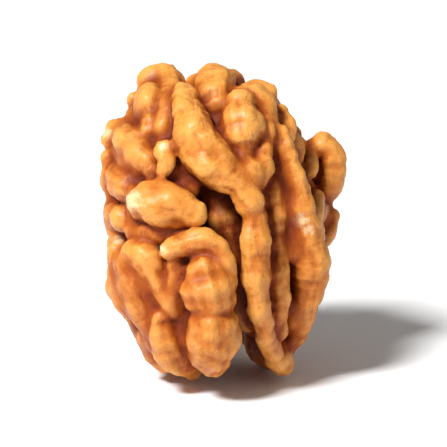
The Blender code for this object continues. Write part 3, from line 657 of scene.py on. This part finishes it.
def sweep_tree(material):
    """Sweeps each line as a round tube of its radius, and puts a lump on each loose point."""
    tree, ports = new_tree("swept_folds", [("Sides", "NodeSocketInt")])
    ring_size = {"Resolution": ports["Sides"], "Radius": 1.0}
    ring = add(tree, "GeometryNodeCurvePrimitiveCircle", None, ring_size)
    lines = add(tree, "GeometryNodeMeshToCurve", None, {"Mesh": ports["Geometry"]})
    radius = attribute(tree, "radius")
    tubes = add(
        tree,
        "GeometryNodeCurveToMesh",
        None,
        {"Curve": lines, "Profile Curve": ring, "Scale": radius, "Fill Caps": True},
    )
    is_lump = radius.maths("LESS_THAN", radius, NO_RADIUS)
    spots = add(tree, "GeometryNodeMeshToPoints", None, {"Mesh": ports["Geometry"], "Selection": is_lump})
    ball_size = {"Radius": 1.0, "Subdivisions": BALL_SUBDIVISIONS}
    ball = add(tree, "GeometryNodeMeshIcoSphere", None, ball_size)
    halves = attribute(tree, "half_axes", "FLOAT_VECTOR")
    lumps = add(
        tree, "GeometryNodeInstanceOnPoints", None, {"Points": spots, "Instance": ball, "Scale": halves}
    )
    joined = tree.nodes.new("GeometryNodeJoinGeometry")
    for part in (lumps, tubes):
        tree.links.new(part.socket, joined.inputs[0])
    finish_tree(tree, Wire(tree, joined.outputs[0]), material)
    return tree


def evaluated_mesh(piece):
    graph = bpy.context.evaluated_depsgraph_get()
    return bpy.data.meshes.new_from_object(piece.evaluated_get(graph))


def islands(shape):
    """The separate closed skins of a shape, as lists of vertices."""
    waiting = set(shape.verts)
    found = []
    while waiting:
        start = waiting.pop()
        island, border = [start], [start]
        while border:
            here = border.pop()
            reached = {edge.other_vert(here) for edge in here.link_edges} & waiting
            waiting -= reached
            island += reached
            border += reached
        found.append(island)
    return found


def outer_skin(mesh):
    """Drops the walls of the small hollows that the folds close over."""
    shape = bmesh.new()
    shape.from_mesh(mesh)
    by_size = sorted(islands(shape), key=len)
    inner = [vertex for island in by_size[:-1] for vertex in island]
    bmesh.ops.delete(shape, geom=inner, context="VERTS")
    shape.to_mesh(mesh)
    shape.free()


def positions(mesh):
    flat = np.empty(len(mesh.vertices) * 3, np.float32)
    mesh.vertices.foreach_get("co", flat)
    return flat.reshape(-1, 3).astype(float)


def set_positions(mesh, places):
    mesh.vertices.foreach_set("co", places.astype(np.float32).ravel())
    mesh.update()


def store(mesh, name, values, kind="FLOAT"):
    key = "vector" if kind == "FLOAT_VECTOR" else "value"
    mesh.attributes.new(name, kind, "POINT").data.foreach_set(key, values.astype(np.float32).ravel())


def mark_depth(mesh):
    """Stores sunk, about how deep each point of the skin lies inside the egg, in millimetres."""
    skin = positions(mesh) / MM
    from_middle = np.abs((skin - np.array(EGG_CENTRE)) / np.array(EGG_HALF)) ** EGG_POWER
    store(mesh, "sunk", (1 - from_middle.sum(1) ** (1 / EGG_POWER)) * EGG_HALF.x)


def mark_worn_spots(mesh):
    """Stores worn_spot, which is 1 in the middle of a worn spot on the front and 0 beyond its reach."""
    skin = positions(mesh) / MM
    worn_spot = np.zeros(len(skin))
    for x, z, reach in WORN_SPOTS:
        distance = np.hypot(skin[:, 0] - x, skin[:, 2] - z)
        worn_spot = np.maximum(worn_spot, np.where(skin[:, 1] < 0, 1 - distance / reach, 0))
    store(mesh, "worn_spot", worn_spot)


def fold_stations():
    """Stations along every fold, as arrays, and the number of each fold's first station.

    A station has its place, its radius, how far along the fold it is and which way is across the fold.
    """
    centres, radii, along, sides, starts = [], [], [], [], []
    for _, face, raised, _, drawn in FOLDS:
        path = smooth_path(drawn_points(face, raised, drawn))
        starts.append(len(centres))
        travelled = 0.0
        for i, place in enumerate(path):
            behind = path[max(i - 1, 0)].xyz
            ahead = path[min(i + 1, len(path) - 1)].xyz
            inwards = root_of(place, 1.0).xyz - place.xyz
            travelled += (place.xyz - behind).length
            centres.append(place.xyz)
            radii.append(place.w)
            along.append(travelled)
            sides.append((ahead - behind).cross(inwards).normalized())
    return np.array(centres), np.array(radii), np.array(along), np.array(sides), starts


def follow_folds(mesh):
    """Gives each point of the skin its place on its own fold.

    grain holds the distance along the fold, the distance across it and the fold's number, spaced out;
    crease is how much farther off the next fold is; fold_tint is one random number for each fold.
    """
    centres, radii, along, sides, starts = fold_stations()
    fold_of = np.zeros(len(centres), int)
    fold_of[starts[1:]] = 1
    fold_of = np.cumsum(fold_of)
    skin = positions(mesh) / MM
    nearest = np.empty(len(skin), int)
    crease = np.empty(len(skin))
    for block in np.array_split(np.arange(len(skin)), BLOCKS):
        offset = skin[block][:, None, :] - centres[None]
        gap = np.sqrt((offset**2).sum(2)) - radii
        nearest[block] = gap.argmin(1)
        two = np.partition(np.minimum.reduceat(gap, starts, axis=1), 1, axis=1)
        crease[block] = two[:, 1] - two[:, 0]
    across = ((skin - centres[nearest]) * sides[nearest]).sum(1)
    fold = fold_of[nearest]
    tints = np.random.default_rng(TINT_SEED).random(len(FOLDS))
    store(mesh, "grain", np.column_stack([along[nearest], across, fold * FOLD_SPACING]), "FLOAT_VECTOR")
    store(mesh, "crease", crease)
    store(mesh, "fold_tint", tints[fold])


def store_hollows(tree, geometry):
    """Stores how far each point lies below the skin around it, near by and farther out."""
    after = add(tree, "GeometryNodeInputPosition")
    outwards = add(tree, "GeometryNodeInputNormal")
    for name, rounds in HOLLOW_ROUNDS.items():
        blurred = add(
            tree,
            "GeometryNodeBlurAttribute",
            {"data_type": "FLOAT_VECTOR"},
            {"Value": after, "Iterations": rounds},
        )
        drop = vector_maths(tree, "SUBTRACT", blurred, after)
        depth = vector_maths(tree, "DOT_PRODUCT", drop, outwards, "Value")
        geometry = add(
            tree,
            "GeometryNodeStoreNamedAttribute",
            {"data_type": "FLOAT", "domain": "POINT"},
            {"Geometry": geometry, "Name": name, "Value": depth / MM},
        )
    return geometry


def relief_tree(material):
    """Raises lumps, small bumps and wrinkles across the folds, and measures how hollow each place is."""
    kinds = ("Lump", "Lobule", "Bump", "Wrinkle")
    labels = [f"{kind} {size}" for kind in kinds for size in ("height", "width")]
    tree, ports = new_tree("skin_relief", [(label, "NodeSocketFloat") for label in labels])
    place = add(tree, "GeometryNodeInputPosition")
    normal = add(tree, "GeometryNodeInputNormal")
    open_skin = attribute(tree, "crease").between(*CREASE_FADE)
    grain = attribute(tree, "grain", "FLOAT_VECTOR")

    def waves(vector, width, detail):
        sockets = {"Vector": vector, "Scale": 1.0 / ports[width], "Detail": detail}
        return add(tree, "ShaderNodeTexNoise", None, sockets) - NOISE_MIDDLE

    lumps = waves(place, "Lump width", LUMP_DETAIL) * ports["Lump height"]
    bumps = waves(place, "Bump width", BUMP_DETAIL) * ports["Bump height"]
    across = vector_maths(tree, "MULTIPLY", grain, ACROSS_GRAIN)
    lengthwise = vector_maths(tree, "MULTIPLY", grain, ALONG_GRAIN)
    folded = waves(across, "Wrinkle width", WRINKLE_DETAIL)
    wrinkles = (folded + waves(lengthwise, "Wrinkle width", WRINKLE_DETAIL)) * ports["Wrinkle height"]
    cells = add(
        tree,
        "ShaderNodeTexVoronoi",
        {"feature": "SMOOTH_F1"},
        {"Vector": place, "Scale": 1.0 / ports["Lobule width"], "Smoothness": LOBULE_SOFTNESS},
    )
    lobules = (LOBULE_LEVEL - cells) * ports["Lobule height"]
    height = lumps + lobules + (bumps + wrinkles) * open_skin
    offset = scaled(tree, normal, height)
    raised = add(tree, "GeometryNodeSetPosition", None, {"Geometry": ports["Geometry"], "Offset": offset})
    finish_tree(tree, store_hollows(tree, raised), material)
    return tree


def fit_in_box(mesh):
    """Scales the kernel a hair to sit inside the solid's box, with nothing of it below the ground."""
    low, high = (np.array(corner) for corner in CAD_BOX)
    places = positions(mesh)
    own_low, own_high = places.min(0), places.max(0)
    scale = ((high - low) / (own_high - own_low))[:2].min()
    places = (places - (own_low + own_high) / 2) * scale
    places[:, :2] += (low + high)[:2] / 2
    places[:, 2] += high[2] - places[:, 2].max()
    places[:, 2] = np.maximum(places[:, 2], low[2])
    set_positions(mesh, places)


def stored(tree, name, out="Fac"):
    """An attribute of the skin in the shader, as a number or, from the output Vector, as a vector."""
    return add(tree, "ShaderNodeAttribute", {"attribute_name": name}, None, out)


def noise_at(tree, vector, pattern, unit):
    """A noise of this width, detail and roughness; unit is a millimetre in the vector's own units."""
    width, detail, roughness = pattern
    sockets = {"Vector": vector, "Scale": 1.0 / (width * unit), "Detail": detail, "Roughness": roughness}
    return add(tree, "ShaderNodeTexNoise", None, sockets)


def vein_lines(tree, place, grain):
    """1 on the veins, which wander along the grain, and 0 between them."""
    waves = {"Vector": place, "Scale": VEIN_WANDER_SCALE}
    wander = scaled(tree, add(tree, "ShaderNodeTexNoise", None, waves, "Color"), VEIN_WANDER)
    net = vector_maths(tree, "MULTIPLY", vector_maths(tree, "ADD", grain, wander), VEIN_GRAIN)
    cells = {"Vector": net, "Scale": 1.0}
    border = add(tree, "ShaderNodeTexVoronoi", {"feature": "DISTANCE_TO_EDGE"}, cells)
    return 1.0 - border.between(*STEPS["veins"])


def skin_signals(tree):
    """The patterns and stored attributes that the skin's measures are made of, by name."""
    place = add(tree, "ShaderNodeTexCoord", out="Object")
    grain = stored(tree, "grain", "Vector")
    off_crease = stored(tree, "crease").between(*STEPS["off_crease"])
    signals = {name: stored(tree, name) for name in ("hollow_fine", "hollow_wide", "worn_spot")}
    for name, pattern in SKIN_NOISES.items():
        signals[name] = noise_at(tree, place, pattern, MM)
    pit_cells = {"Vector": place, "Scale": 1.0 / (PIT_WIDTH * MM)}
    signals["pits"] = add(tree, "ShaderNodeTexVoronoi", {"feature": "SMOOTH_F1"}, pit_cells)
    lengthwise = vector_maths(tree, "MULTIPLY", grain, FIBRE_GRAIN)
    signals["fibres"] = (noise_at(tree, lengthwise, FIBRE_NOISE, 1.0) - NOISE_MIDDLE) * off_crease
    patches = signals["mottle"].between(*STEPS["vein_patches"])
    signals["veins"] = vein_lines(tree, place, grain) * patches * off_crease
    signals["tint"] = (stored(tree, "fold_tint") - NOISE_MIDDLE) * off_crease
    signals["low_down"] = stored(tree, "sunk").between(*STEPS["low_down"])
    signals["across"] = add(tree, "ShaderNodeSeparateXYZ", None, {0: place}, "X") / (DRIFT_WIDTH * MM)
    signals["up"] = add(tree, "ShaderNodeSeparateXYZ", None, {0: place}, "Z") / (DRIFT_HEIGHT * MM)
    return signals


def measured(signals, name):
    """The measure of this name: its start and its shares of the signals, added up."""
    total, shares = MEASURES[name]
    for signal, share in shares.items():
        total = total + signals[signal] * share
    return total


def skin_material():
    """Thin, satin, honey-brown skin, paler where it is worn, with painted shade that darkens and reddens
    the creases and the foot and a painted highlight that pales the crests.
    """
    material = bpy.data.materials.new("walnut_skin")
    material.use_nodes = True
    tree = material.node_tree
    shader = tree.nodes["Principled BSDF"]

    signals = skin_signals(tree)
    # Painted shade, browner towards the foot and the right.
    signals["painted_drift_shade"] = measured(signals, "painted_drift_shade")
    # Masks of the painted shade on the flanks and in the creases, of the rubbed crests with their painted
    # highlight, and of the chips.
    for name in ("painted_flank_shade", "deep", "worn_and_painted_highlight", "ragged"):
        signals[name] = measured(signals, name).between(*STEPS[name])
    in_spot = signals["worn_spot"].between(*STEPS["spot_reach"])
    signals["chipped"] = signals["ragged"] * in_spot * CHIP_STRENGTH
    specks = signals["specks"].between(*STEPS["specks"])

    layers = (
        # Random tone, with painted shade towards the foot and the right.
        (measured(signals, "tone_and_painted_drift_shade").clamped(), HONEY),
        (signals["veins"] * VEIN_STRENGTH, CHESTNUT),
        # Rubbed crests, paler also as a painted highlight.
        (signals["worn_and_painted_highlight"] * RUBBED_AND_HIGHLIGHT_STRENGTH, WHEAT),
        (signals["chipped"], FLESH),
        (specks * SPECK_STRENGTH, CHESTNUT),
        # Painted shade on the flanks of the folds and, darkest, in the deep creases.
        (signals["painted_flank_shade"], CHESTNUT),
        (signals["deep"], UMBER),
    )
    colour = STRAW
    for factor, over in layers:
        colour = mix_colour(tree, factor, colour, over)

    bump_sockets = {
        "Strength": SKIN_BUMP_STRENGTH,
        "Distance": SKIN_BUMP_DEPTH * MM,
        "Height": measured(signals, "bump"),
    }
    connect(tree, shader.inputs["Base Color"], colour)
    connect(tree, shader.inputs["Roughness"], measured(signals, "roughness"))
    connect(tree, shader.inputs["Normal"], add(tree, "ShaderNodeBump", None, bump_sockets))
    connect(tree, shader.inputs["Coat Weight"], measured(signals, "coat"))
    shader.inputs["Coat Roughness"].default_value = COAT_ROUGHNESS
    shader.inputs["Specular IOR Level"].default_value = SPECULAR_LEVEL
    shader.inputs["Subsurface Weight"].default_value = GLOW_WEIGHT
    shader.inputs["Subsurface Radius"].default_value = GLOW_RADIUS
    shader.inputs["Subsurface Scale"].default_value = GLOW_DEPTH * MM
    return material


def make_kernel():
    """Sweeps and joins the folds, raises the skin's relief and stands the kernel in the solid's box."""
    material = skin_material()
    kernel = bpy.data.objects.new("kernel_skin", fold_lines())
    bpy.context.scene.collection.objects.link(kernel)
    apply_tree(kernel, sweep_tree(material), {"Sides": SIDES})
    remesh = kernel.modifiers.new("one_skin", "REMESH")
    remesh.mode = "VOXEL"
    remesh.voxel_size = VOXEL * MM
    soften = kernel.modifiers.new("soften", "SMOOTH")
    soften.factor = SMOOTHING_FACTOR
    soften.iterations = SMOOTHING
    skin = evaluated_mesh(kernel)
    kernel.modifiers.clear()
    outer_skin(skin)
    mark_depth(skin)
    mark_worn_spots(skin)
    follow_folds(skin)
    kernel.data = skin
    sizes = {
        "Lump height": LUMP_HEIGHT * MM,
        "Lump width": LUMP_WIDTH * MM,
        "Lobule height": LOBULE_HEIGHT * MM,
        "Lobule width": LOBULE_WIDTH * MM,
        "Bump height": BUMP_HEIGHT * MM,
        "Bump width": BUMP_WIDTH * MM,
        "Wrinkle height": WRINKLE_HEIGHT * MM,
        # the wrinkles follow the grain, which is in millimetres already
        "Wrinkle width": WRINKLE_WIDTH,
    }
    apply_tree(kernel, relief_tree(material), sizes)
    final = evaluated_mesh(kernel)
    kernel.modifiers.clear()
    kernel.data = final
    final.transform(Matrix.Rotation(-LEAN, 4, "X"))
    fit_in_box(final)
    final.shade_smooth()
    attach(kernel, "root")
    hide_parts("kernel")


def make_floor():
    half = FLOOR_SIZE / 2
    corners = [(-half, -half, 0), (half, -half, 0), (half, half, 0), (-half, half, 0)]
    mesh = bpy.data.meshes.new("floor")
    mesh.from_pydata(corners, [], [(0, 1, 2, 3)])
    floor = bpy.data.objects.new("floor", mesh)
    bpy.context.scene.collection.objects.link(floor)
    material = bpy.data.materials.new("floor_card")
    material.use_nodes = True
    shader = material.node_tree.nodes["Principled BSDF"]
    shader.inputs["Base Color"].default_value = (*FLOOR_COLOUR, 1.0)
    shader.inputs["Roughness"].default_value = FLOOR_ROUGHNESS
    mesh.materials.append(material)


def make_lights(target):
    scene = bpy.context.scene
    world = bpy.data.worlds.new("studio")
    scene.world = world
    world.use_nodes = True
    background = world.node_tree.nodes["Background"]
    background.inputs["Color"].default_value = (*WORLD_COLOUR, 1.0)
    background.inputs["Strength"].default_value = WORLD_STRENGTH
    for name, offset, size, power in LIGHTS:
        lamp = bpy.data.lights.new(name, "AREA")
        lamp.size = size
        lamp.energy = power
        holder = bpy.data.objects.new(name, lamp)
        scene.collection.objects.link(holder)
        holder.location = target + Vector(offset)
        holder.rotation_euler = (-Vector(offset)).to_track_quat("-Z", "Y").to_euler()


def make_camera(target):
    lens = bpy.data.cameras.new("camera")
    lens.lens = CAMERA_LENS
    lens.clip_start = CAMERA_CLIP_START
    camera = bpy.data.objects.new("camera", lens)
    bpy.context.scene.collection.objects.link(camera)
    away = Vector((0.0, -math.cos(CAMERA_ELEVATION), math.sin(CAMERA_ELEVATION)))
    camera.location = target + away * CAMERA_DISTANCE
    camera.rotation_euler = (-away).to_track_quat("-Z", "Y").to_euler()
    bpy.context.scene.camera = camera


make_kernel()
make_floor()
low, high = (Vector(corner) for corner in CAD_BOX)
middle = (low + high) / 2
make_lights(middle)
make_camera(middle)
bpy.context.scene.view_settings.view_transform = "Standard"
